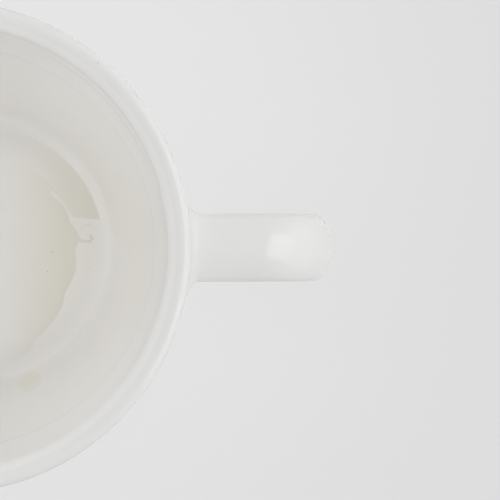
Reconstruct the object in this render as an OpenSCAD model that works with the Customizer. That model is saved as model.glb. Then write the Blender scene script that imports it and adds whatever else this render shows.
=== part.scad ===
// A plain white glazed coffee cup, made in one piece: a tapering bowl with a rounded lip,
// a foot ring underneath, and one broad strap handle that grows out of the wall.
// Z is the cup's axis, the foot stands on Z = 0, and the handle points along +X.
// All sizes are in millimetres and all angles in degrees.

/* [Bowl] */
// Diameter over the lip
rim_d = 88; // [76:1:104]
// Height from the table to the top of the lip
cup_h = 58; // [52:1:72]
// Thickness of the wall
wall_t = 3.9; // [3.4:0.1:5]
// Lean of the wall away from upright
wall_lean = 16.5; // [10:0.5:19]
// Radius of the lip's outer edge, which is tighter than its inner edge
lip_outer = 1.3; // [0.8:0.1:1.6]
// Thickness of the floor above the hollow of the foot
floor_t = 4.6; // [3.5:0.1:7]
// Radius of the corner between the inner wall and the floor
floor_round = 10; // [4:0.5:12]

/* [Foot] */
// Height of the foot ring
foot_h = 2.4; // [1.8:0.1:4]
// Width of the foot ring, seen from below
foot_w = 3.4; // [2.6:0.1:5]
// Radius of the curve that tucks the wall in towards the foot
heel_round = 6; // [4:0.5:9]
// Radius of the small hollow corners beside the foot ring
foot_cove = 0.9; // [0.5:0.1:1.4]
// Radius of the edges that the foot ring stands on
foot_edge = 0.7; // [0.4:0.1:1]

/* [Handle] */
// Width of the strap where it leaves the wall near the lip
handle_w = 12.5; // [10:0.1:15]
// Width of the strap where it comes back to the wall low down
handle_low_w = 11.4; // [9:0.1:14]
// Thickness of the strap
handle_t = 7; // [5.5:0.1:8]
// How far the handle stands out past the lip
handle_reach = 25.8; // [22:0.2:32]
// From the top of the lip down to the upper face of the handle
handle_drop = 5; // [4:0.1:8]
// Radius of the strap's centre line where it turns down from its upper limb
bend_r = 9.8; // [8:0.1:12]
// How far the strap turns on that radius before the wider one begins
bend_turn = 95; // [80:1:110]
// Radius of the strap's centre line where it turns back towards the wall
low_bend_r = 20; // [14:0.5:21]
// Slope of the lower limb, which runs down to the wall
low_slope = 20; // [14:1:26]

/* [Handle roots] */
// How far the blend into the wall reaches along the strap's sides and on the finger's side
root_reach = 4.4; // [3:0.1:6]
// How far it reaches above the upper limb and below the lower one
root_depth = 2.4; // [1.6:0.1:4]
// How much wider each side of the strap grows at the wall
root_side = 3.9; // [2:0.1:5]
// How much the strap thickens at the wall above its upper limb
root_top = 3; // [1:0.1:3.4]
// How much each limb thickens at the wall on the finger's side
root_gap = 2.2; // [1:0.1:4]
// How much the strap thickens at the wall below its lower limb
root_low = 1.9; // [1:0.1:4]
// How the blend curves above and below the strap: 1 is a straight slope, 2 an even curve
root_curve = 1.4; // [1.2:0.1:2]

/* [Smoothness] */
// Largest turn between two points of a rounded corner
corner_step = 9; // [5:1:15]
// Corners in one ring of the strap
strap_sides = 36; // [24:4:48]
// Largest distance between two rings along the strap
ring_gap = 1.9; // [1.5:0.1:4]

/* [Hidden] */
glaze = [0.9, 0.89, 0.87];

// The lip's two rounds meet at its crown. The inner one is as wide as the wall leaves room for:
// each round touches its face of the wall, and the faces lie wall_t apart.
tilt = sin(wall_lean);
lip_inner = (wall_t - lip_outer * (1 + tilt)) / (1 - tilt);
crown_r = rim_d / 2 - lip_outer;
lean_rise = tan(wall_lean);
floor_z = foot_h + floor_t;

// Radius of the wall's outer face (side = 1) or inner face (side = -1) at a height.
function wall_r(z, side) =
    crown_r - (cup_h - lip_outer - z) * lean_rise
    + (side > 0 ? lip_outer : lip_outer - wall_t) / cos(wall_lean);

// Centre of a corner that rounds from a level face at height z into one face of the wall.
function corner_at(z, radius, side) =
    let (up = z + radius) [wall_r(up, side) - radius / cos(wall_lean), up];

heel_at = corner_at(foot_h, heel_round, 1);
floor_at = corner_at(floor_z, floor_round, -1);
foot_out_r = heel_at[0] - foot_cove;
foot_in_r = foot_out_r - foot_w;

// Points along an arc about a centre.
function arc(at, radius, from, to) =
    let (steps = ceil(abs(to - from) / corner_step))
    [for (i = [0 : steps]) let (a = from + (to - from) * i / steps) at + radius * [cos(a), sin(a)]];

// All points but the first.
function rest(points) = [for (i = [1 : len(points) - 1]) points[i]];

// The bowl's section, from the hollow of the foot round the lip to the middle of the floor.
bowl_outline = concat(
    [[0, foot_h]],
    arc([foot_in_r - foot_cove, foot_h - foot_cove], foot_cove, 90, 0),
    arc([foot_in_r + foot_edge, foot_edge], foot_edge, 180, 270),
    arc([foot_out_r - foot_edge, foot_edge], foot_edge, -90, 0),
    arc([foot_out_r + foot_cove, foot_h - foot_cove], foot_cove, 180, 90),
    arc(heel_at, heel_round, -90, -wall_lean),
    arc([crown_r, cup_h - lip_outer], lip_outer, -wall_lean, 90),
    rest(arc([crown_r, cup_h - lip_inner], lip_inner, 90, 180 - wall_lean)),
    arc(floor_at, floor_round, -wall_lean, -90),
    [[0, floor_z]]
);

// The strap's centre line in the XZ plane: a level limb, a bend in two radii that meet without
// a kink, and a limb that slopes down to the wall. A turn is counted from straight up.
full_turn = 180 - low_slope;
function outwards(turn) = [sin(turn), cos(turn)];
bend_at = [
    rim_d / 2 + handle_reach - handle_t / 2 - bend_r,
    cup_h - handle_drop - handle_t / 2 - bend_r
];
low_bend_at = bend_at + (bend_r - low_bend_r) * outwards(bend_turn);
bend_end = low_bend_at + low_bend_r * outwards(full_turn);
top_line = [[bend_at[0], bend_at[1] + bend_r], [1, 0], [0, 1]];
low_line = [bend_end, [cos(low_slope), sin(low_slope)], outwards(full_turn)];

// Where a straight line at a sideways distance y leaves the outer wall, as a distance from its
// start along its direction: the line's point and the wall's cone have the same radius there.
function leaves_wall(start, along, y) =
    let (
        wall = wall_r(start[1], 1),
        a = along[0] ^ 2 - (lean_rise * along[1]) ^ 2,
        b = start[0] * along[0] - wall * lean_rise * along[1],
        c = start[0] ^ 2 + y ^ 2 - wall ^ 2
    )
    (sqrt(b ^ 2 - a * c) - b) / a;

// The blend into the wall has rings at equal steps, closer together than the rest.
root_rings = ceil(3 * root_reach / ring_gap);
root_step = root_reach / root_rings;

// How the blend curves along the strap's sides and on the finger's side.
even_curve = 2;

// Share of the blend that is left at a distance from the wall. The first ring inside the wall
// still grows, so that the wall cuts the blend between two rings, and the rest stays as it is.
function blend_left(gap, reach, curve) =
    gap < reach ? (1 - max(gap, -root_step / 2) / reach) ^ curve : 0;

// Width of the strap where it has turned by an angle on its way round. It narrows on the way
// through the wider bend.
function strap_w(turn) =
    handle_w + (handle_low_w - handle_w) * max(turn - bend_turn, 0) / (full_turn - bend_turn);

// One corner of a section at a distance from the wall: how far it lies sideways and how far out
// from the centre line. The blend's reach and curve change evenly round the outer side.
function section_point(i, width, gap, outer) =
    let (
        a = 360 * i / strap_sides,
        is_outer = sin(a) > 0,
        share = is_outer ? sin(a) ^ 2 : 0,
        reach = root_reach + (root_depth - root_reach) * share,
        grown = blend_left(gap, reach, even_curve + (root_curve - even_curve) * share),
        deep = handle_t / 2 + grown * (is_outer ? outer : root_gap)
    )
    [(width / 2 + grown * root_side) * cos(a), deep * sin(a)];

// Length of a limb between the wall and the bend.
function limb_length(line) = -leaves_wall(line[0], line[1], 0);

// A ring of a limb at a distance from the wall. Close to the wall it follows the wall's own
// curve, and towards the bend it becomes flat.
function limb_ring(line, gap, width, outer) =
    let (
        length = limb_length(line),
        hug = (1 - max(gap, 0) / length) ^ 2
    )
    [for (i = [0 : strap_sides - 1])
        let (
            s = section_point(i, width, gap, outer),
            from = line[0] + s[1] * line[2],
            middle = gap - length,
            edge = gap + leaves_wall(from, line[1], s[0]),
            at = from + line[1] * (middle + (edge - middle) * hug)
        )
        [at[0], s[0], at[1]]];

// A ring of a bend about a centre, at an angle from straight up, clear of both blends.
function bend_ring(centre, radius, turn) =
    [for (i = [0 : strap_sides - 1])
        let (
            s = section_point(i, strap_w(turn), root_reach, 0),
            at = centre + (radius + s[1]) * outwards(turn)
        )
        [at[0], s[0], at[1]]];

// The turns at which a bend has rings: all but its first.
function bend_turns(radius, from, to) =
    let (steps = ceil(radius * (to - from) * PI / 180 / ring_gap))
    [for (i = [1 : steps]) from + (to - from) * i / steps];

// Distances from the wall at which a limb has rings: from the middle of the wall outwards,
// closer together within the blend, and none on the wall's face itself.
function limb_gaps(length) =
    let (far = ceil((length - root_reach) / ring_gap))
    concat(
        [-wall_t / 2],
        [for (i = [0 : root_rings]) root_step * (i - 0.5)],
        [for (i = [0 : far - 1]) root_reach + (length - root_reach) * i / far]
    );

top_gaps = limb_gaps(limb_length(top_line));
low_gaps = limb_gaps(limb_length(low_line));

strap_rings = concat(
    [for (gap = top_gaps) limb_ring(top_line, gap, handle_w, root_top)],
    [bend_ring(bend_at, bend_r, 0)],
    [for (turn = bend_turns(bend_r, 0, bend_turn)) bend_ring(bend_at, bend_r, turn)],
    [for (turn = bend_turns(low_bend_r, bend_turn, full_turn))
        bend_ring(low_bend_at, low_bend_r, turn)],
    [for (i = [len(low_gaps) - 1 : -1 : 0]) limb_ring(low_line, low_gaps[i], handle_low_w, root_low)]
);

// The middle of a strap's end, which lies within the wall.
function limb_middle(line) =
    let (at = line[0] - line[1] * (limb_length(line) + wall_t / 2)) [at[0], 0, at[1]];

// The bowl's seam lies opposite the handle.
module bowl() {
    rotate(180) rotate_extrude($fn = 180) polygon(bowl_outline);
}

module handle() {
    n = strap_sides;
    last = len(strap_rings) - 1;
    middle = n * len(strap_rings);
    points = concat(
        [for (ring = strap_rings) each ring],
        [limb_middle(top_line), limb_middle(low_line)]
    );
    skin = [for (k = [0 : last - 1]) for (i = [0 : n - 1])
        let (j = (i + 1) % n) [k * n + i, (k + 1) * n + i, (k + 1) * n + j, k * n + j]];
    top_end = [for (i = [0 : n - 1]) [middle, i, (i + 1) % n]];
    low_end = [for (i = [0 : n - 1]) [middle + 1, last * n + (i + 1) % n, last * n + i]];
    polyhedron(points, concat(skin, top_end, low_end), convexity = 4);
}

module cup() {
    color(glaze) union() {
        bowl();
        handle();
    }
}

cup();
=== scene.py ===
"""A plain white glazed coffee cup, seen from straight above, on a pale table in soft light.

The bowl is an outline turned about Z, and the handle is a strap swept along a bent path that
blends into the wall. All lengths are in metres, and the frame's own: Z is the cup's axis, the
foot stands on Z = 0, and the handle points along +X.
"""

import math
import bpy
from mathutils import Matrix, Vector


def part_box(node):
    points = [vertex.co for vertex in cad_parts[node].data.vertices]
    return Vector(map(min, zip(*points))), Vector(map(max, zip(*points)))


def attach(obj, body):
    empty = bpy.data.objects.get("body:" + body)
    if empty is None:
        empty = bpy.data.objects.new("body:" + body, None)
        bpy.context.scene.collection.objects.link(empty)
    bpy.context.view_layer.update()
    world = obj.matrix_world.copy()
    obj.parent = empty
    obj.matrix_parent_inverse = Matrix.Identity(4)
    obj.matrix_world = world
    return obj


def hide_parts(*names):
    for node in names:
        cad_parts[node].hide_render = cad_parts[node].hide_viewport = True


bl_info = {
    "name": "Coffee cup",
    "version": (1, 0, 0),
    "blender": (4, 5, 0),
    "location": "3D View > Sidebar > Coffee cup",
    "description": "Makes a glazed coffee cup with its stage, light and camera",
    "category": "Add Mesh",
}

import bmesh
import bpy
from bpy.props import FloatProperty, FloatVectorProperty, IntProperty, PointerProperty
from mathutils import Quaternion, Vector

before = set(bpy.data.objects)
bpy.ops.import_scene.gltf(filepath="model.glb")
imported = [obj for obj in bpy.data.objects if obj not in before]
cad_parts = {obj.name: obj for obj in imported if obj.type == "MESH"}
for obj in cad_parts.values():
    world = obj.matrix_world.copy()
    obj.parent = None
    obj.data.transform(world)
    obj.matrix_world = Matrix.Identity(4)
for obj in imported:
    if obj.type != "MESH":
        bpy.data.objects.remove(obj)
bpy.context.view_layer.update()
CUP_LOW, CUP_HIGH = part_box("cup")
MM = 0.001

# The strap's ends go on into the wall by this much, and widen by this share of the way in.
STRAP_IN_WALL = 0.3 * MM
STRAP_SPREAD = 0.5

# The soft lights: their size, and how far they stand from the handle's side of the lip.
LIGHT_SIZE = (0.8, 0.8)
LIGHT_DISTANCE = 0.9

# The window that shows in reflections: its size, elevation and roll in degrees, the share of its
# height over which it fades out, and its dimmer part near the horizon.
GLEAM_SIZE = (0.92, 0.84)
GLEAM_ELEVATION = 54
GLEAM_ROLL = -16
GLEAM_FADE = 0.3
LOW_GLEAM_SIZE = (1.6, 0.9)
LOW_GLEAM_ELEVATION = 14
GLEAM_DISTANCE = 1.0

# The table: its radius, and the lit part round a point beside the axis, which darkens outwards
# between two distances.
TABLE_RADIUS = 4.0
LIT_PART_Y = 0.015
LIT_PART_EDGE = (0.03, 0.12)


# Sizes and colours

def length(name, default, description):
    """A size in metres."""
    return FloatProperty(
        name=name, description=description, default=default, unit="LENGTH", precision=5)


def angle(name, degrees, description):
    """An angle, given in degrees and kept in radians."""
    return FloatProperty(
        name=name, description=description, default=math.radians(degrees), unit="ROTATION")


def amount(name, default, description):
    """A share or a strength without a unit."""
    return FloatProperty(name=name, description=description, default=default, min=0)


def colour(name, default, description):
    """A colour as the shader takes it, without gamma."""
    return FloatVectorProperty(
        name=name, description=description, default=default, subtype="COLOR", min=0, max=1)


class BowlSizes(bpy.types.PropertyGroup):
    rim_radius: length("Lip radius", -CUP_LOW[0], "Radius of the outermost circle of the lip")
    height: length("Height", CUP_HIGH[2], "From the table to the top of the lip")
    wall: length("Wall", 3.9 * MM, "Thickness of the wall")
    lean: angle("Lean", 16.5, "Lean of the wall away from upright")
    lip_outer: length("Outer lip", 1.3 * MM, "Radius of the lip's outer edge")
    floor: length("Floor", 4.6 * MM, "Thickness of the floor above the hollow of the foot")
    floor_round: length("Floor corner", 10 * MM, "Radius between the inner wall and the floor")
    foot: length("Foot", 2.4 * MM, "Height of the foot ring")
    foot_width: length("Foot width", 3.4 * MM, "Width of the foot ring seen from below")
    heel_round: length("Heel", 6 * MM, "Radius of the curve that tucks the wall in")
    foot_cove: length("Foot corners", 0.9 * MM, "Radius of the hollow corners beside the foot")
    foot_edge: length("Foot edges", 0.7 * MM, "Radius of the edges that the foot stands on")
    arc_step: angle("Arc step", 5, "Largest turn between two points of a rounded corner")
    wall_step: length("Wall step", 2.5 * MM, "Largest distance between two points of a wall")
    turns: IntProperty(
        name="Turns", description="Copies of the outline round the axis", default=256, min=24)


class StrapSizes(bpy.types.PropertyGroup):
    width: length("Width", 12.5 * MM, "Width of the strap at its upper root")
    low_width: length("Low width", 11.4 * MM, "Width of the strap at its lower root")
    thickness: length("Thickness", 7 * MM, "Thickness of the strap")
    drop: length("Drop", 5 * MM, "From the top of the lip down to the strap's upper face")
    bend_radius: length("Bend", 9.8 * MM, "Radius of the centre line where it turns down")
    bend_turn: angle("Bend turn", 95, "How far the strap turns on that radius")
    low_bend_radius: length("Low bend", 20 * MM, "Radius where the strap turns to the wall")
    low_slope: angle("Low slope", 20, "Slope of the lower limb")
    root_reach: length("Root reach", 3.3 * MM, "How far each side's blend into the wall reaches")
    root_depth: length("Root depth", 2.6 * MM, "How far the blend reaches above and below")
    root_side: length("Root side", 9.5 * MM, "How much each side grows at the wall")
    root_top: length("Root top", 3.35 * MM, "How much the upper limb thickens upwards")
    root_gap: length("Root gap", 3.4 * MM, "How much each limb thickens on the finger's side")
    root_low: length("Root low", 2.2 * MM, "How much the lower limb thickens downwards")
    root_curve: amount("Root curve", 1.6, "Power by which the strap's upper edges widen")
    ring_step: length("Ring step", 0.35 * MM, "Distance between two rings along the strap")
    root_rings: IntProperty(
        name="Root rings", description="Rings within each blend", default=16, min=4)
    sides: IntProperty(
        name="Sides", description="Corners in one ring of the strap", default=128, min=12)


class GlazeLook(bpy.types.PropertyGroup):
    body: colour("Glaze", (0.935, 0.934, 0.923), "Colour of the glazed ware")
    # Painted light: the inside gets a lighter colour than the outside, so the hollow looks brighter
    # lit.
    inner: colour("Inner glaze", (0.990, 0.986, 0.974), "Colour of the lightened glaze inside")
    biscuit: colour("Biscuit", (0.70, 0.66, 0.60), "Colour of the bare foot")
    drink: colour("Drink", (0.848, 0.833, 0.760), "What the dregs leave of the glaze's colour")
    film: colour("Film", (1.0, 0.990, 0.977), "What the thin film leaves of the colour")
    # Painted shade: what the floor's colour is darkened by, so that the floor looks no brighter
    # than the wall.
    floor_shade: colour(
        "Floor film", (0.890, 0.888, 0.884), "What the film leaves of the floor's colour")
    drop: colour("Drop", (0.965, 0.957, 0.90), "What the dried drop leaves of the colour")
    # Painted shade: the colour of the darker rings along the lip's inner edge.
    shade_ring: colour("Lip shade", (0.93, 0.93, 0.92), "What the glaze's folds leave of the colour")
    speck: colour("Speck", (0.16, 0.14, 0.11), "Colour of the pinholes")
    gloss: amount("Roughness", 0.02, "Roughness of the clean glaze")
    tide: length("Tide line", 45.6 * MM, "Height that the drink stood at")


class StageLook(bpy.types.PropertyGroup):
    table: colour("Table", (0.80, 0.80, 0.80), "Colour of the table")
    backdrop: colour("Backdrop", (0.815, 0.815, 0.815), "Colour of the lit table near the cup")
    far_backdrop: colour("Far backdrop", (0.745, 0.745, 0.747), "Colour of the table farther out")
    clean: amount("Clean", 0.85, "Share of the backdrop's own colour in the table's look")
    room: colour("Room", (1.0, 1.0, 1.0), "Colour of the room in reflections")
    world: amount("World", 0.05, "Strength of the light from all round")
    overhead: amount("Overhead", 2.75, "Power of the large soft light above")
    back: amount("Back", 2.5, "Power of the soft light opposite the handle")
    front: amount("Front", 4.9, "Power of the low soft light on the handle's side")
    left: amount("Left", 2.5, "Power of the low soft light from the photo's top")
    high_left: amount("High left", 0.55, "Power of the high soft light from the photo's top")
    right: amount("Right", 1.2, "Power of the low soft light from the photo's bottom")
    high_right: amount("High right", 0.8, "Power of the soft light from the photo's bottom")
    gleam: amount("Gleam", 4.2, "Power of the window that shows in reflections")
    low_gleam: amount("Low gleam", 1.9, "Power of the window's dimmer part near the horizon")
    camera_x: length("Camera x", 54.5 * MM, "How far the camera stands out along the handle")
    camera_y: length("Camera y", -0.45 * MM, "How far the camera stands to the side")
    camera_rise: length("Camera rise", 370 * MM, "Height of the camera above the lip")
    view_width: length("View width", 89.1 * MM, "Width of the picture at the lip's height")


# Expressions on node sockets

class Value:
    """A socket of a node tree. Arithmetic on it adds Math nodes to its tree."""

    def __init__(self, net, socket):
        self.net = net
        self.socket = socket

    def math(self, operation, *terms):
        return self.net.node("ShaderNodeMath", {"operation": operation}, *terms)

    def __add__(self, other):
        return self.math("ADD", self, other)

    __radd__ = __add__

    def __sub__(self, other):
        return self.math("SUBTRACT", self, other)

    def __rsub__(self, other):
        return self.math("SUBTRACT", other, self)

    def __mul__(self, other):
        return self.math("MULTIPLY", self, other)

    __rmul__ = __mul__

    def __truediv__(self, other):
        return self.math("DIVIDE", self, other)

    def __neg__(self):
        return self.math("MULTIPLY", self, -1.0)

    def __abs__(self):
        return self.math("ABSOLUTE", self)

    def sin(self):
        return self.math("SINE", self)

    def cos(self):
        return self.math("COSINE", self)

    def sqrt(self):
        return self.math("SQRT", self)

    def round(self):
        return self.math("ROUND", self)

    def power(self, exponent):
        return self.math("POWER", self, exponent)

    def clamped(self):
        return self.at_least(0.0).at_most(1.0)

    def squared(self):
        return self.math("MULTIPLY", self, self)

    def azimuth(self, x):
        """Angle in degrees from +X, where this value is the y."""
        return self.math("ARCTAN2", self, x) * (180 / math.pi)

    def at_least(self, other):
        return self.math("MAXIMUM", self, other)

    def at_most(self, other):
        return self.math("MINIMUM", self, other)

    def above(self, other):
        """1 where this value is greater, else 0."""
        return self.math("GREATER_THAN", self, other)

    def ramp(self, low, high):
        """Rises smoothly from 0 at low to 1 at high, and falls where low is the greater."""
        return self.net.node(
            "ShaderNodeMapRange", {"interpolation_type": "SMOOTHSTEP"}, self, low, high, 0.0, 1.0)


class Net:
    """A node tree that is written as expressions."""

    def __init__(self, tree):
        self.tree = tree

    def node(self, kind, settings, *values, output=0, **named):
        """Adds a node: its settings first, then its sockets in order or by name."""
        made = self.tree.nodes.new(kind)
        for key, setting in settings.items():
            setattr(made, key, setting)
        for key, value in list(enumerate(values)) + list(named.items()):
            socket = made.inputs[key.replace("_", " ") if isinstance(key, str) else key]
            if isinstance(value, Value):
                self.tree.links.new(value.socket, socket)
            else:
                socket.default_value = value
        return Value(self, made.outputs[output])

    def parts(self, vector):
        """The three numbers of a vector."""
        made = self.node("ShaderNodeSeparateXYZ", {}, vector).socket.node
        return [Value(self, socket) for socket in made.outputs]

    def vector(self, x, y, z):
        return self.node("ShaderNodeCombineXYZ", {}, x, y, z)

    def scaled(self, vector, factor):
        return self.node("ShaderNodeVectorMath", {"operation": "SCALE"}, vector, Scale=factor)

    def noise(self, vector, scale, detail=2.0):
        """Noise from about -1 to 1, with so many waves to a unit of the vector."""
        made = self.node(
            "ShaderNodeTexNoise", {}, Vector=vector, Scale=scale, Detail=detail, Roughness=0.5)
        return (made - 0.5) * 2.0

    def blend(self, mask, below, above):
        """The colour above laid over the colour below where the mask is 1."""
        made = self.node("ShaderNodeMix", {"data_type": "RGBA"}, output=2).socket.node
        for index, value in ((0, mask), (6, below), (7, above)):
            if isinstance(value, Value):
                self.tree.links.new(value.socket, made.inputs[index])
            else:
                made.inputs[index].default_value = value
        return Value(self, made.outputs[2])

    def stain(self, mask, below, tint):
        """The colour below multiplied by a tint where the mask is 1."""
        made = self.blend(mask, below, tint)
        made.socket.node.blend_type = "MULTIPLY"
        return made


def rgba(tint):
    return (*tint, 1.0)


# The cup's shape

def arc(centre, radius, start, end, step):
    """Points along an arc in the plane of the outline, from one angle to another."""
    count = math.ceil(abs(end - start) / step)
    angles = [start + (end - start) * i / count for i in range(count + 1)]
    return [(centre[0] + radius * math.cos(a), centre[1] + radius * math.sin(a)) for a in angles]


class Wall:
    """The straight wall between the heel and the lip, and the corners that meet it."""

    def __init__(self, bowl):
        self.lean = bowl.lean
        self.rise = math.tan(bowl.lean)
        tilt = math.sin(bowl.lean)
        self.lip_inner = (bowl.wall - bowl.lip_outer * (1 + tilt)) / (1 - tilt)
        self.crown = bowl.rim_radius - bowl.lip_outer
        self.outer_lip = (self.crown, bowl.height - bowl.lip_outer)
        self.inner_lip = (self.crown, bowl.height - self.lip_inner)
        self.half = bowl.wall / 2 / math.cos(bowl.lean)
        outer = self.crown + bowl.lip_outer / math.cos(bowl.lean)
        self.foot_radius = outer - self.outer_lip[1] * self.rise

    def radius(self, z, side):
        """Radius of the outer face (side 1), the middle (0) or the inner face (-1)."""
        return self.foot_radius + z * self.rise + (side - 1) * self.half

    def corner(self, z, radius, side):
        """Centre of a corner that rounds from a level face into one face of the wall."""
        up = z + radius
        return (self.radius(up, side) - radius / math.cos(self.lean), up)


def bowl_outline(bowl):
    """Points (radius, height) from the hollow of the foot round the lip to the floor's middle."""
    wall = Wall(bowl)
    quarter = math.pi / 2
    floor_top = bowl.foot + bowl.floor
    heel = wall.corner(bowl.foot, bowl.heel_round, 1)
    floor = wall.corner(floor_top, bowl.floor_round, -1)
    foot_out = heel[0] - bowl.foot_cove
    foot_in = foot_out - bowl.foot_width
    cove_z = bowl.foot - bowl.foot_cove
    cove, edge, step = bowl.foot_cove, bowl.foot_edge, bowl.arc_step
    corners = [
        [(0.0, bowl.foot)],
        arc((foot_in - cove, cove_z), cove, quarter, 0, step),
        arc((foot_in + edge, edge), edge, 2 * quarter, 3 * quarter, step),
        arc((foot_out - edge, edge), edge, -quarter, 0, step),
        arc((foot_out + cove, cove_z), cove, 2 * quarter, quarter, step),
        arc(heel, bowl.heel_round, -quarter, -bowl.lean, step),
        arc(wall.outer_lip, bowl.lip_outer, -bowl.lean, quarter, step / 2),
        arc(wall.inner_lip, wall.lip_inner, quarter, math.pi - bowl.lean, step / 2)[1:],
        arc(floor, bowl.floor_round, -bowl.lean, -quarter, step),
        [(0.0, floor_top)],
    ]
    outline = []
    for corner in corners:
        outline += between(outline[-1:], corner[0], bowl.wall_step) + corner
    return outline


def between(last, first, step):
    """Points on the straight stretch from the last point so far to the next corner."""
    if not last:
        return []
    start, end = Vector(last[0]), Vector(first)
    count = math.ceil((end - start).length / step)
    return [tuple(start.lerp(end, i / count)) for i in range(1, count)]


class StrapPath:
    """The strap's centre line: a level limb, a bend in two radii and a sloping limb."""

    def __init__(self, bowl, strap):
        wall = Wall(bowl)
        reach = CUP_HIGH[0] - strap.thickness / 2
        self.bend_x = reach - strap.bend_radius
        self.top_z = bowl.height - strap.drop - strap.thickness / 2
        self.turn = strap.bend_turn
        self.full_turn = math.pi - strap.low_slope
        shift = strap.bend_radius - strap.low_bend_radius
        centre_x = self.bend_x + shift * math.sin(self.turn)
        centre_z = self.top_z - strap.bend_radius + shift * math.cos(self.turn)
        self.end_x = centre_x + strap.low_bend_radius * math.sin(self.full_turn)
        self.end_z = centre_z + strap.low_bend_radius * math.cos(self.full_turn)
        self.upper = self.bend_x - wall.radius(self.top_z, 1)
        along = (math.cos(strap.low_slope), math.sin(strap.low_slope))
        falls = along[0] - wall.rise * along[1]
        self.lower = (self.end_x - wall.radius(self.end_z, 1)) / falls
        self.bends = strap.bend_radius * self.turn
        self.low_bends = strap.low_bend_radius * (self.full_turn - self.turn)
        self.length = self.upper + self.bends + self.low_bends + self.lower


def strap_stations(bowl, strap):
    """Places of the rings along the strap, each with its size: 0 closes the skin to a point."""
    whole = StrapPath(bowl, strap).length
    quarter = math.pi / 2
    root = [
        strap.root_reach * (1 - math.cos(quarter * i / strap.root_rings))
        for i in range(strap.root_rings + 1)
    ]
    near = [(-bowl.wall / 3, 0.0), (-STRAP_IN_WALL, 1.0)] + [(s, 1.0) for s in root]
    inner = whole - 2 * strap.root_reach
    count = math.ceil(inner / strap.ring_step)
    middle = [(strap.root_reach + inner * i / count, 1.0) for i in range(1, count)]
    return near + middle + [(whole - s, size) for s, size in reversed(near)]


# Geometry node trees

def new_tree(name, sizes, defaults):
    """An empty geometry tree with a mesh and a material input and one input for each size."""
    tree = bpy.data.node_groups.new(name, "GeometryNodeTree")
    tree.interface.new_socket("Mesh", in_out="INPUT", socket_type="NodeSocketGeometry")
    for size in sizes:
        kind = "NodeSocketInt" if isinstance(defaults[size], int) else "NodeSocketFloat"
        socket = tree.interface.new_socket(size, in_out="INPUT", socket_type=kind)
        socket.default_value = defaults[size]
    tree.interface.new_socket("Finish", in_out="INPUT", socket_type="NodeSocketMaterial")
    tree.interface.new_socket("Mesh", in_out="OUTPUT", socket_type="NodeSocketGeometry")
    net = Net(tree)
    inputs = tree.nodes.new("NodeGroupInput").outputs
    return net, {socket.name: Value(net, socket) for socket in inputs if socket.name}


def grid_of(net, source, rows, columns):
    """A grid whose rows stand for the source's points. Gives the grid, the point of each row
    and the number of each column."""
    grid = net.node(
        "GeometryNodeMeshGrid", {}, rows - 1.0, columns - 1.0, rows, columns)
    x, y, _ = net.parts(net.node("GeometryNodeInputPosition", {}))
    row = (x + (rows - 1.0) / 2.0).round()
    column = (y + (columns - 1.0) / 2.0).round()
    source_place = net.node("GeometryNodeInputPosition", {})
    sample = net.node(
        "GeometryNodeSampleIndex", {"data_type": "FLOAT_VECTOR", "domain": "POINT"},
        source, source_place)
    net.tree.links.new(row.socket, sample.socket.node.inputs["Index"])
    return grid, net.parts(sample), column


def finish_tree(net, grid, place, finish):
    """Moves the grid's points to their place and closes, smooths and finishes the skin."""
    skin = net.node("GeometryNodeSetPosition", {}, grid, Position=place)
    skin = net.node("GeometryNodeMergeByDistance", {}, skin, Distance=0.001 * MM)
    skin = net.node("GeometryNodeSetShadeSmooth", {}, skin, Shade_Smooth=True)
    skin = net.node("GeometryNodeRealizeInstances", {}, skin)
    skin = net.node("GeometryNodeSetMaterial", {}, skin, Material=finish)
    output = net.tree.nodes.new("NodeGroupOutput")
    net.tree.links.new(skin.socket, output.inputs["Mesh"])


def point_count(net, mesh):
    return net.node("GeometryNodeAttributeDomainSize", {"component": "MESH"}, mesh)


def turned_tree():
    """Turns an outline in the XZ plane about Z."""
    net, given = new_tree("Turned outline", ["Turns"], {"Turns": 256})
    rows = point_count(net, given["Mesh"])
    grid, (x, _, z), column = grid_of(net, given["Mesh"], rows, given["Turns"] + 1.0)
    around = column * (2 * math.pi) / given["Turns"]
    finish_tree(net, grid, net.vector(x * around.cos(), x * around.sin(), z), given["Finish"])
    return net.tree


def leaves_wall(start_x, start_z, along, side, wall):
    """How far a line at a sideways distance goes on before it meets the wall's cone: the
    solution of a square equation in which the line's radius is the cone's."""
    foot_radius, rise = wall
    along_x, along_z = along
    cone = foot_radius + start_z * rise
    a = along_x * along_x - rise * along_z * (rise * along_z)
    b = start_x * along_x - cone * rise * along_z
    c = start_x * start_x + side * side - cone * cone
    return ((b * b - a * c).at_least(0.0).sqrt() - b) / a


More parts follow.
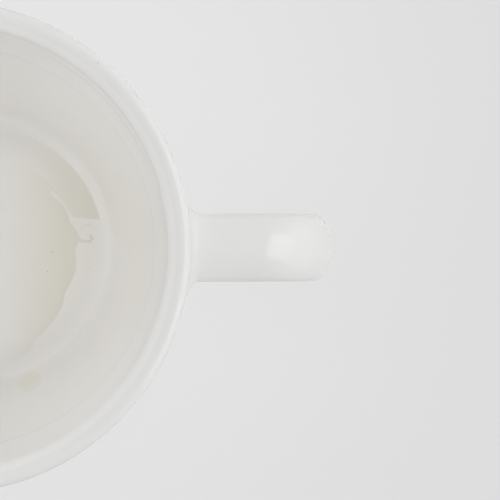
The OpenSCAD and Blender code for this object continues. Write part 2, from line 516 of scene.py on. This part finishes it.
def swept_tree(sizes):
    """Sweeps the strap: rings along the bent path, which grow into the wall at both roots."""
    net, given = new_tree("Swept strap", list(sizes), sizes)
    rows = point_count(net, given["Mesh"])
    sides = given["Sides"]
    grid, (at, size, _), column = grid_of(net, given["Mesh"], rows, sides + 1.0)
    around = column * (2 * math.pi) / sides
    bend, low_bend = given["Bend radius"], given["Low bend radius"]
    turn, full_turn = given["Bend turn"], given["Full turn"]
    upper, lower, whole = given["Upper limb"], given["Lower limb"], given["Length"]

    first = ((at - upper) / bend).at_least(0.0).at_most(turn)
    second = ((at - upper - bend * turn) / low_bend).at_least(0.0).at_most(full_turn - turn)
    turned = first + second
    before = (at - upper).at_most(0.0)
    after = (at - whole + lower).at_least(0.0)
    centre_x = given["Bend x"] + bend * first.sin() + before + after * full_turn.cos() \
        + low_bend * ((turn + second).sin() - turn.sin())
    centre_z = given["Top z"] + bend * (first.cos() - 1.0) - after * full_turn.sin() \
        + low_bend * ((turn + second).cos() - turn.cos())

    gap = at.at_most(whole - at)
    is_low = at.above(whole / 2.0)
    is_outer = around.sin().above(0.0)
    share = around.sin().squared() * is_outer
    reach = given["Root reach"] + (given["Root depth"] - given["Root reach"]) * share
    near = 1.0 - (gap / reach).clamped()
    hollow = 1.0 - (1.0 - near * near).at_least(0.0).sqrt()
    fuller = near.power(given["Root curve"]) - hollow
    side_grown = hollow + fuller * (around.sin() * 2.0).clamped()
    spread = (-gap).at_least(0.0) * STRAP_SPREAD
    outer_growth = given["Root top"] + (given["Root low"] - given["Root top"]) * is_low
    growth = given["Root gap"] + (outer_growth - given["Root gap"]) * is_outer
    narrowed = (given["Low width"] - given["Width"]) * second / (full_turn - turn)
    width = given["Width"] + narrowed
    side = (width / 2.0 + side_grown * given["Root side"] + spread) * around.cos() * size
    out = (given["Thickness"] / 2.0 + hollow * growth + spread) * around.sin() * size

    wall = given["Wall foot radius"], given["Wall rise"]
    level = (1.0, 0.0)
    slope = (-full_turn.cos(), full_turn.sin())
    top = leaves_wall(given["Bend x"], given["Top z"] + out, level, side, wall) \
        - leaves_wall(given["Bend x"], given["Top z"], level, 0.0, wall)
    end_x, end_z = given["End x"], given["End z"]
    low = leaves_wall(
        end_x + out * full_turn.sin(), end_z + out * full_turn.cos(), slope, side, wall) \
        - leaves_wall(end_x, end_z, slope, 0.0, wall)
    hug_top = (1.0 - (at / upper).at_least(0.0).at_most(1.0)).squared() * top
    hug_low = (1.0 - ((whole - at) / lower).at_least(0.0).at_most(1.0)).squared() * low
    x = centre_x + out * turned.sin() + hug_top + hug_low * slope[0]
    z = centre_z + out * turned.cos() + hug_low * slope[1]
    finish_tree(net, grid, net.vector(x, side, z), given["Finish"])
    return net.tree


def strap_inputs(bowl, strap):
    """The named inputs of the strap's tree, worked out from the sizes."""
    path, wall = StrapPath(bowl, strap), Wall(bowl)
    return {
        "Width": strap.width,
        "Low width": strap.low_width,
        "Thickness": strap.thickness,
        "Bend radius": strap.bend_radius,
        "Bend turn": strap.bend_turn,
        "Low bend radius": strap.low_bend_radius,
        "Full turn": path.full_turn,
        "Bend x": path.bend_x,
        "Top z": path.top_z,
        "End x": path.end_x,
        "End z": path.end_z,
        "Upper limb": path.upper,
        "Lower limb": path.lower,
        "Length": path.length,
        "Root reach": strap.root_reach,
        "Root depth": strap.root_depth,
        "Root side": strap.root_side,
        "Root top": strap.root_top,
        "Root gap": strap.root_gap,
        "Root low": strap.root_low,
        "Root curve": strap.root_curve,
        "Wall foot radius": wall.foot_radius,
        "Wall rise": wall.rise,
        "Sides": strap.sides,
    }


def line_of_points(name, points):
    """An object that holds nothing but points, which a tree reads by their number."""
    mesh = bpy.data.meshes.new(name)
    mesh.from_pydata(points, [], [])
    made = bpy.data.objects.new(name, mesh)
    bpy.context.scene.collection.objects.link(made)
    return made


def skin_from(source, tree, inputs, finish):
    """The mesh that a tree makes of an object's points. The object is removed."""
    modifier = source.modifiers.new(tree.name, "NODES")
    modifier.node_group = tree
    for socket in tree.interface.items_tree:
        if socket.in_out == "INPUT" and socket.name in inputs:
            modifier[socket.identifier] = inputs[socket.name]
        if socket.in_out == "INPUT" and socket.name == "Finish":
            modifier[socket.identifier] = finish
    source.update_tag()
    evaluated = source.evaluated_get(bpy.context.evaluated_depsgraph_get())
    mesh = bpy.data.meshes.new_from_object(evaluated)
    bpy.data.objects.remove(source)
    return mesh


def joined(name, meshes, finish):
    """One object of several closed skins, with all faces pointing outwards."""
    work = bmesh.new()
    for mesh in meshes:
        work.from_mesh(mesh)
    bmesh.ops.recalc_face_normals(work, faces=work.faces)
    for face in work.faces:
        face.smooth = True
    mesh = bpy.data.meshes.new(name)
    work.to_mesh(mesh)
    work.free()
    mesh.materials.clear()
    mesh.materials.append(finish)
    made = bpy.data.objects.new(name, mesh)
    bpy.context.scene.collection.objects.link(made)
    return made


# The cup's finish. Places on the ware are in millimetres here.

# Marks in the glaze: place, radius, and how dark they are.
PINHOLES = [
    ((27.4, 32.9, 57.9), 0.22, 0.45),
    ((68.35, 4.6, 42.2), 0.42, 0.95),
    ((14.4, -0.9, 7.0), 0.30, 0.22),
    ((13.4, -4.8, 7.0), 0.16, 0.50),
    ((21.9, -4.0, 8.0), 0.16, 0.30),
    ((11.1, 21.3, 9.2), 0.40, 0.06),
    ((27.7, 17.8, 32.8), 0.35, 0.05),
    ((30.0, 4.0, 23.8), 0.35, 0.06),
    ((31.5, -5.5, 29.6), 0.30, 0.05),
    ((12.9, -33.8, 43.8), 0.50, 0.06),
]

# Shore of the thin pool that ran towards the handle: azimuth in degrees, and radius.
POOL_SHORE = [
    (-66, 23.4), (-57, 21.5), (-45, 20.9), (-38, 20.5), (-27, 19.4), (-14, 19.8), (-1, 19.2),
    (3, 19.8), (9, 18.9), (15, 18.7), (24, 19.2),
]

# The pool gains strength between two places on the x axis, and its shore is this soft.
POOL_X = (5.0, 17.5)
POOL_EDGE = (-0.25, 0.3)

# Height that the drink last stood at beside the pool, and how it rises along x, and the outer
# end (x, y) and the slope of the straight cut that ends this stretch.
STOOD_TO = 9.6
STOOD_RISE = 0.035
CUT_END = (24.6, 5.6)
CUT_SLOPE = 0.07

# Threads across the dregs, from place to place with half their width there: a dark one with a
# fainter curl beside it where they dried, and a pale one that is a painted highlight.
DARK_THREAD = [
    (17.7, 5.2, 0.35), (18.1, 4.2, 0.75), (18.5, 3.2, 0.95), (19.2, 2.2, 0.75), (20.1, 1.5, 0.48),
    (21.3, 1.3, 0.38), (22.2, 1.3, 0.36), (22.7, 1.8, 0.28), (22.3, 2.3, 0.42),
]
CURL = [(20.1, 3.7, 0.20), (20.9, 4.4, 0.22), (22.1, 4.7, 0.22), (22.8, 4.3, 0.12)]
HIGHLIGHT_THREAD = [
    (14.4, 11.1, 0.40), (15.0, 10.6, 0.45), (15.8, 9.9, 0.28), (17.0, 8.4, 0.18),
    (17.8, 7.0, 0.18), (18.2, 6.0, 0.30),
]

# The dried drop on the wall: its middle's azimuth in degrees and height, and half its size.
DROP_AZIMUTH = -67.2
DROP_Z = 18.3
DROP_HALF_SIZE = (2.5, 6.0)

# Painted shade along the lip's inner edge, as darker rings, the last of them a soft wide band:
# strength, radius, half its width, half the width of its core, and the azimuths in degrees over
# which it begins and ends.
LIP_SHADE_RINGS = [
    (1.0, 39.8, 0.26, 0.06, (14.5, 16.0), (86.0, 66.0)),
    (0.7, 38.95, 0.22, 0.05, (20.0, 30.0), (70.0, 48.0)),
    (0.35, 39.3, 0.7, 0.1, (-60.0, -10.0), (16.0, 14.5)),
]
# Heights between which the painted shade on the lip's inner edge fades in.
LIP_SHADE_HEIGHTS = (50.0, 52.0)

# Heights between which the painted shade on the floor sets in, from above.
FLOOR_SHADE_HEIGHTS = (12.0, 7.4)

# What clouds in the glaze and the ring at the tide line leave of the colour.
CLOUD_TINT = (0.985, 0.985, 0.98)
TIDE_TINT = (0.965, 0.958, 0.94)

# A tiny bead in the glaze on the strap, near its upper root.
BEAD = (48.6, -2.1, 53.0)

# What each adds to the glaze's roughness.
CLOUD_ROUGH = 0.02
DREGS_ROUGH = 0.1
DROP_ROUGH = 0.12
TIDE_ROUGH = 0.05
FOOT_ROUGH = 0.6
PINHOLE_ROUGH = 0.2

# How far each stands up, or sinks in: long waves, rings from the wheel, the fine unevenness of
# the glaze, the bare foot's grain, the bead and the pinholes.
WAVES = 0.012
THROWING = 0.0025
PEEL = 0.0006
GRAIN = 0.01
BEAD_HEIGHT = 0.03
PINHOLE_DEPTH = 0.04


def depth_in_stroke(x, y, start, end):
    """How deep a place lies within a straight stroke of changing width, 0 on its edge."""
    dx, dy = end[0] - start[0], end[1] - start[1]
    share = ((x - start[0]) * dx + (y - start[1]) * dy) / (dx * dx + dy * dy)
    share = share.clamped()
    off_x = x - start[0] - share * dx
    off_y = y - start[1] - share * dy
    half = share * (end[2] - start[2]) + start[2]
    return half - (off_x.squared() + off_y.squared()).sqrt()


def depth_in_thread(x, y, places):
    """How deep a place lies within a chain of strokes."""
    deepest = None
    for start, end in zip(places, places[1:]):
        deep = depth_in_stroke(x, y, start, end)
        deepest = deep if deepest is None else deepest.at_least(deep)
    return deepest


def distance_to_place(place, x, y, z):
    """Distance in space to a place."""
    return ((x - place[0]).squared() + (y - place[1]).squared() + (z - place[2]).squared()).sqrt()


def inside_mask(x, y, z, radius, wall):
    """1 on the inner wall and the floor, 0 on the lip, the outside and the handle."""
    inner = wall.radius(0, -1) / MM + z * wall.rise
    return z.ramp(5.0, 6.0) * (inner + 1.4 - radius).ramp(0.0, 0.8)


def pool_shore(around):
    """Radius of the pool's shore at an azimuth."""
    radius = POOL_SHORE[0][1]
    for (start, before), (end, after) in zip(POOL_SHORE, POOL_SHORE[1:]):
        radius = around.ramp(start, end) * (after - before) + radius
    return radius


def dregs_mask(x, y, z, radius, wander):
    """How strongly the dregs colour the floor: a thin pool towards the handle, a stretch beside
    it that stood up to a level and ends in a cut, a fainter rest outside, and threads, the pale one
    a painted highlight."""
    shore = pool_shore(y.azimuth(x)) + wander * 0.1
    strength = ((x - POOL_X[0]) / (POOL_X[1] - POOL_X[0])).clamped()
    pool = (shore - radius).ramp(*POOL_EDGE) * strength
    level = STOOD_TO + (x - 10.0) * STOOD_RISE + wander * 0.06
    above_cut = y - CUT_END[1] - (CUT_END[0] - x) * CUT_SLOPE
    stood = (level - z).at_most(above_cut + wander * 0.1).ramp(-0.1, 0.2)
    stood = stood * (strength * 0.72 + 0.1) * x.ramp(1.0, 9.0) * (1.0 - y.ramp(6.0, 22.0) * 0.4)
    rest = ((26.4 - radius) / 7.0).clamped() * (y.ramp(-16.0, 2.0) * 0.2 + 0.24)
    rest = rest * above_cut.ramp(0.3, -0.1) * y.ramp(-26.0, -19.0) * x.ramp(6.0, 12.0)
    left = pool.at_least(stood).at_least(rest)
    left = left.at_least(depth_in_thread(x, y, CURL).ramp(-0.2, 0.2) * 0.62)
    # Painted highlight: the pale thread lightens the dregs along a line.
    pale = depth_in_thread(x, y, HIGHLIGHT_THREAD).ramp(-0.2, 0.2)
    left = left * (1.0 - pale * 0.5)
    return left.at_least(depth_in_thread(x, y, DARK_THREAD).ramp(-0.2, 0.3)) * (1.0 + wander * 0.08)


def drop_mask(x, y, z, radius, wander):
    """A drop that ran down the wall."""
    along = (y.azimuth(x) - DROP_AZIMUTH) * (math.pi / 180) * radius
    up = z - DROP_Z
    half_width, half_height = DROP_HALF_SIZE
    off = ((along - up * 0.05) / half_width).squared() + (up / half_height).squared()
    return (off.sqrt() + wander * 0.12).ramp(1.12, 0.8)


def lip_shade_mask(x, y, radius, z):
    """Painted shade: thin darker rings that follow the lip's inner edge and end at once near the
    handle, and a soft wider band of shade that goes on from there."""
    around = y.azimuth(x)
    deepest = None
    for strength, middle, half, core, begins, ends in LIP_SHADE_RINGS:
        shade_ring = abs(radius - middle).ramp(half, core) * strength
        shade_ring = shade_ring * around.ramp(*begins) * around.ramp(*ends)
        deepest = shade_ring if deepest is None else deepest.at_least(shade_ring)
    return deepest * z.ramp(*LIP_SHADE_HEIGHTS)


def glaze_material(look, bowl):
    """White glaze over warm ware, with what the last drink left in the cup, and painted light and
    shade.
    """
    material = bpy.data.materials.new("White glaze")
    material.use_nodes = True
    net = Net(material.node_tree)
    principled = material.node_tree.nodes["Principled BSDF"]
    wall = Wall(bowl)

    place = net.node("ShaderNodeTexCoord", {}, output=3)
    place = net.scaled(place, 1 / MM)
    x, y, z = net.parts(place)
    radius = (x.squared() + y.squared()).sqrt()
    inside = inside_mask(x, y, z, radius, wall)
    wander = net.noise(place, 0.22, 3.0) + net.noise(place, 0.9, 2.0) * 0.25

    tide = look.tide / MM + net.noise(place, 0.05, 1.0) * 0.8
    film = (tide - z).ramp(-0.4, 0.5) * inside
    tide_ring = abs(z - tide - 0.5).ramp(0.8, 0.1) * inside
    cloud = net.noise(place, 0.12, 4.0)
    dregs = dregs_mask(x, y, z, radius, wander) * inside
    drop = drop_mask(x, y, z, radius, wander) * inside
    shade_rings = lip_shade_mask(x, y, radius, z)
    bare_foot = z.ramp(0.5, 0.3)

    specks = None
    for spot, size, dark in PINHOLES:
        speck = distance_to_place(spot, x, y, z).ramp(size, size * 0.3) * dark
        specks = speck if specks is None else specks.at_least(speck)

    # Painted light: the inner wall and the floor take the lighter inner colour.
    tone = net.blend(inside, rgba(look.body), rgba(look.inner))
    tone = net.stain((cloud * 0.5 + 0.5) * 0.3, tone, rgba(CLOUD_TINT))
    tone = net.stain(film * (cloud * 0.12 + 0.88), tone, rgba(look.film))
    # Painted shade: the floor and the lowest wall are darkened.
    tone = net.stain(z.ramp(*FLOOR_SHADE_HEIGHTS) * inside, tone, rgba(look.floor_shade))
    tone = net.stain(tide_ring, tone, rgba(TIDE_TINT))
    tone = net.stain(dregs, tone, rgba(look.drink))
    tone = net.stain(drop, tone, rgba(look.drop))
    # Painted shade along the lip's inner edge.
    tone = net.stain(shade_rings, tone, rgba(look.shade_ring))
    tone = net.blend(bare_foot, tone, rgba(look.biscuit))
    tone = net.blend(specks, tone, rgba(look.speck))
    net.tree.links.new(tone.socket, principled.inputs["Base Color"])

    rough = look.gloss + (cloud * 0.5 + 0.5) * CLOUD_ROUGH + dregs * DREGS_ROUGH \
        + drop * DROP_ROUGH
    rough = rough + tide_ring * TIDE_ROUGH + bare_foot * FOOT_ROUGH + specks * PINHOLE_ROUGH
    net.tree.links.new(rough.socket, principled.inputs["Roughness"])

    throwing = net.noise(net.vector(radius * 0.05, 0.0, z), 0.55, 2.0) * inside
    waves = net.noise(place, 0.06, 1.0) * WAVES + throwing * THROWING
    peel = net.noise(place, 0.7, 1.0) * PEEL
    grain = net.noise(place, 6.0, 2.0) * bare_foot * GRAIN
    bead = distance_to_place(BEAD, x, y, z).ramp(1.0, 0.1) * BEAD_HEIGHT
    height = waves + peel + grain + bead - specks * PINHOLE_DEPTH
    bump = net.node("ShaderNodeBump", {}, Strength=1.0, Distance=MM, Height=height)
    net.tree.links.new(bump.socket, principled.inputs["Normal"])
    principled.inputs["IOR"].default_value = 1.5
    return material


# Stage

def seen_rays(net):
    """1 for rays that come from the camera, a reflection or a clear solid, 0 for light."""
    rays = net.node("ShaderNodeLightPath", {}).socket.node.outputs
    seen = Value(net, rays["Is Camera Ray"]) + Value(net, rays["Is Glossy Ray"])
    return (seen + Value(net, rays["Is Transmission Ray"])).at_most(1.0)


def table_material(look):
    """A smooth pale table top. Part of its look is a backdrop colour with a painted pool of light
    round the cup, which keeps the cup's shadow faint."""
    material = bpy.data.materials.new("Pale table")
    material.use_nodes = True
    net = Net(material.node_tree)
    nodes = material.node_tree.nodes
    principled = nodes["Principled BSDF"]
    place = net.node("ShaderNodeTexCoord", {}, output=3)
    cloud = net.noise(place, 9.0, 4.0) * 0.5 + 0.5
    tone = net.stain(cloud * 0.5, rgba(look.table), (0.985, 0.985, 0.985, 1.0))
    net.tree.links.new(tone.socket, principled.inputs["Base Color"])
    principled.inputs["Roughness"].default_value = 0.6
    # Painted light: the backdrop is brighter round a point beside the cup and darkens outwards.
    x, y, _ = net.parts(place)
    from_lit_part = (x.squared() + (y - LIT_PART_Y).squared()).sqrt()
    far = from_lit_part.ramp(*LIT_PART_EDGE)
    backdrop = net.blend(far, rgba(look.backdrop), rgba(look.far_backdrop))
    glow = net.node("ShaderNodeEmission", {}, backdrop, 1.0)
    shader = net.node(
        "ShaderNodeMixShader", {}, seen_rays(net) * look.clean,
        Value(net, principled.outputs["BSDF"]), glow)
    net.tree.links.new(shader.socket, nodes["Material Output"].inputs["Surface"])
    return material


def table_top(look):
    """A large level disc under the cup."""
    work = bmesh.new()
    bmesh.ops.create_circle(work, cap_ends=True, segments=96, radius=TABLE_RADIUS)
    mesh = bpy.data.meshes.new("table")
    work.to_mesh(mesh)
    work.free()
    mesh.materials.append(table_material(look))
    made = bpy.data.objects.new("table", mesh)
    bpy.context.scene.collection.objects.link(made)


def world_light(look):
    """Even light from all round. What looks past the table, or reflects it, sees its colour."""
    world = bpy.data.worlds.new("Even light")
    world.use_nodes = True
    bpy.context.scene.world = world
    net = Net(world.node_tree)
    background = world.node_tree.nodes["Background"]
    tone = net.blend(seen_rays(net), (look.world, look.world, look.world, 1.0), rgba(look.room))
    net.tree.links.new(tone.socket, background.inputs["Color"])


def soft_light(name, power, size, azimuth, elevation, distance, aim, roll=0, mirrored=False):
    """A large flat light that looks at a point from a direction in degrees and a distance. A
    mirrored one is only seen in the glaze, and any other only shines."""
    light = bpy.data.lights.new(name, "AREA")
    light.shape = "RECTANGLE"
    light.size, light.size_y = size
    light.energy = power
    made = bpy.data.objects.new(name, light)
    around, up = math.radians(azimuth), math.radians(elevation)
    towards = Vector((
        math.cos(around) * math.cos(up), math.sin(around) * math.cos(up), math.sin(up)))
    turn = towards.to_track_quat("Z", "Y") @ Quaternion((0, 0, 1), math.radians(roll))
    made.location = Vector(aim) + towards * distance
    made.rotation_euler = turn.to_euler()
    made.visible_diffuse, made.visible_glossy = not mirrored, mirrored
    bpy.context.scene.collection.objects.link(made)
    return light


def fade_downwards(light, share):
    """Lets a light fade out over a share of its height, towards its lower edge."""
    light.use_nodes = True
    net = Net(light.node_tree)
    _, up, _ = net.parts(net.node("ShaderNodeTexCoord", {}, output=2))
    left = up.ramp(0.0, share)
    tone = net.blend(left, (0.0, 0.0, 0.0, 1.0), (1.0, 1.0, 1.0, 1.0))
    net.tree.links.new(tone.socket, light.node_tree.nodes["Emission"].inputs["Color"])


def overhead_camera(look, bowl):
    """A camera that looks straight down, with the lip in its measured place."""
    data = bpy.data.cameras.new("camera")
    data.sensor_width = 36.0
    data.lens = data.sensor_width * look.camera_rise / look.view_width
    data.clip_start = 0.01
    made = bpy.data.objects.new("camera", data)
    made.location = (look.camera_x, look.camera_y, bowl.height + look.camera_rise)
    bpy.context.scene.collection.objects.link(made)
    bpy.context.scene.camera = made


# Operators, panel and registration

class CUP_OT_cup(bpy.types.Operator):
    """Make the cup, with its glaze, in place of the frame's node"""
    bl_idname = "cup.cup"
    bl_label = "Cup"

    def execute(self, context):
        scene = context.scene
        bowl, strap = scene.bowl_sizes, scene.strap_sizes
        finish = glaze_material(scene.glaze_look, bowl)
        outline = [(r, 0.0, z) for r, z in bowl_outline(bowl)]
        bowl_skin = skin_from(
            line_of_points("outline", outline), turned_tree(), {"Turns": bowl.turns}, finish)
        inputs = strap_inputs(bowl, strap)
        stations = [(at, size, 0.0) for at, size in strap_stations(bowl, strap)]
        strap_skin = skin_from(
            line_of_points("stations", stations), swept_tree(inputs), inputs, finish)
        if not bowl_skin.polygons or not strap_skin.polygons:
            raise RuntimeError("the cup's skin came out empty")
        cup = joined("cup_glazed", [bowl_skin, strap_skin], finish)
        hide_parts("cup")
        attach(cup, "root")
        return {"FINISHED"}


class CUP_OT_stage(bpy.types.Operator):
    """Make the table, the lights and the camera"""
    bl_idname = "cup.stage"
    bl_label = "Stage"

    def execute(self, context):
        scene = context.scene
        look, bowl = scene.stage_look, scene.bowl_sizes
        scene.view_settings.view_transform = "Standard"
        table_top(look)
        world_light(look)
        aim = (bowl.rim_radius, 0.0, bowl.height)
        for name, power, azimuth, elevation in (
            ("overhead", look.overhead, 0, 90),
            ("back", look.back, 180, 35),
            ("front", look.front, 0, 12),
            ("left", look.left, 90, 12),
            ("high left", look.high_left, 90, 60),
            ("right", look.right, 270, 12),
            ("high right", look.high_right, 270, 35),
        ):
            soft_light(name, power, LIGHT_SIZE, azimuth, elevation, LIGHT_DISTANCE, aim)
        gleam = soft_light(
            "gleam", look.gleam, GLEAM_SIZE, 0, GLEAM_ELEVATION, GLEAM_DISTANCE, aim,
            roll=GLEAM_ROLL, mirrored=True)
        fade_downwards(gleam, GLEAM_FADE)
        soft_light(
            "low gleam", look.low_gleam, LOW_GLEAM_SIZE, 0, LOW_GLEAM_ELEVATION, GLEAM_DISTANCE,
            aim, mirrored=True)
        overhead_camera(look, bowl)
        return {"FINISHED"}


class CUP_PT_panel(bpy.types.Panel):
    bl_label = "Coffee cup"
    bl_idname = "CUP_PT_panel"
    bl_space_type = "VIEW_3D"
    bl_region_type = "UI"
    bl_category = "Coffee cup"

    def draw(self, context):
        for operator in OPERATORS:
            self.layout.operator(operator.bl_idname)
        for name in GROUPS:
            group = getattr(context.scene, name)
            box = self.layout.box()
            for key in group.__annotations__:
                box.prop(group, key)


GROUPS = {
    "bowl_sizes": BowlSizes,
    "strap_sizes": StrapSizes,
    "glaze_look": GlazeLook,
    "stage_look": StageLook,
}
OPERATORS = (CUP_OT_cup, CUP_OT_stage)


def register():
    for made in (*GROUPS.values(), *OPERATORS, CUP_PT_panel):
        bpy.utils.register_class(made)
    for name, group in GROUPS.items():
        setattr(bpy.types.Scene, name, PointerProperty(type=group))


def unregister():
    for name in GROUPS:
        delattr(bpy.types.Scene, name)
    for made in reversed((*GROUPS.values(), *OPERATORS, CUP_PT_panel)):
        bpy.utils.unregister_class(made)


def main():
    register()
    bpy.ops.cup.cup()
    bpy.ops.cup.stage()


if __name__ == "__main__":
    main()
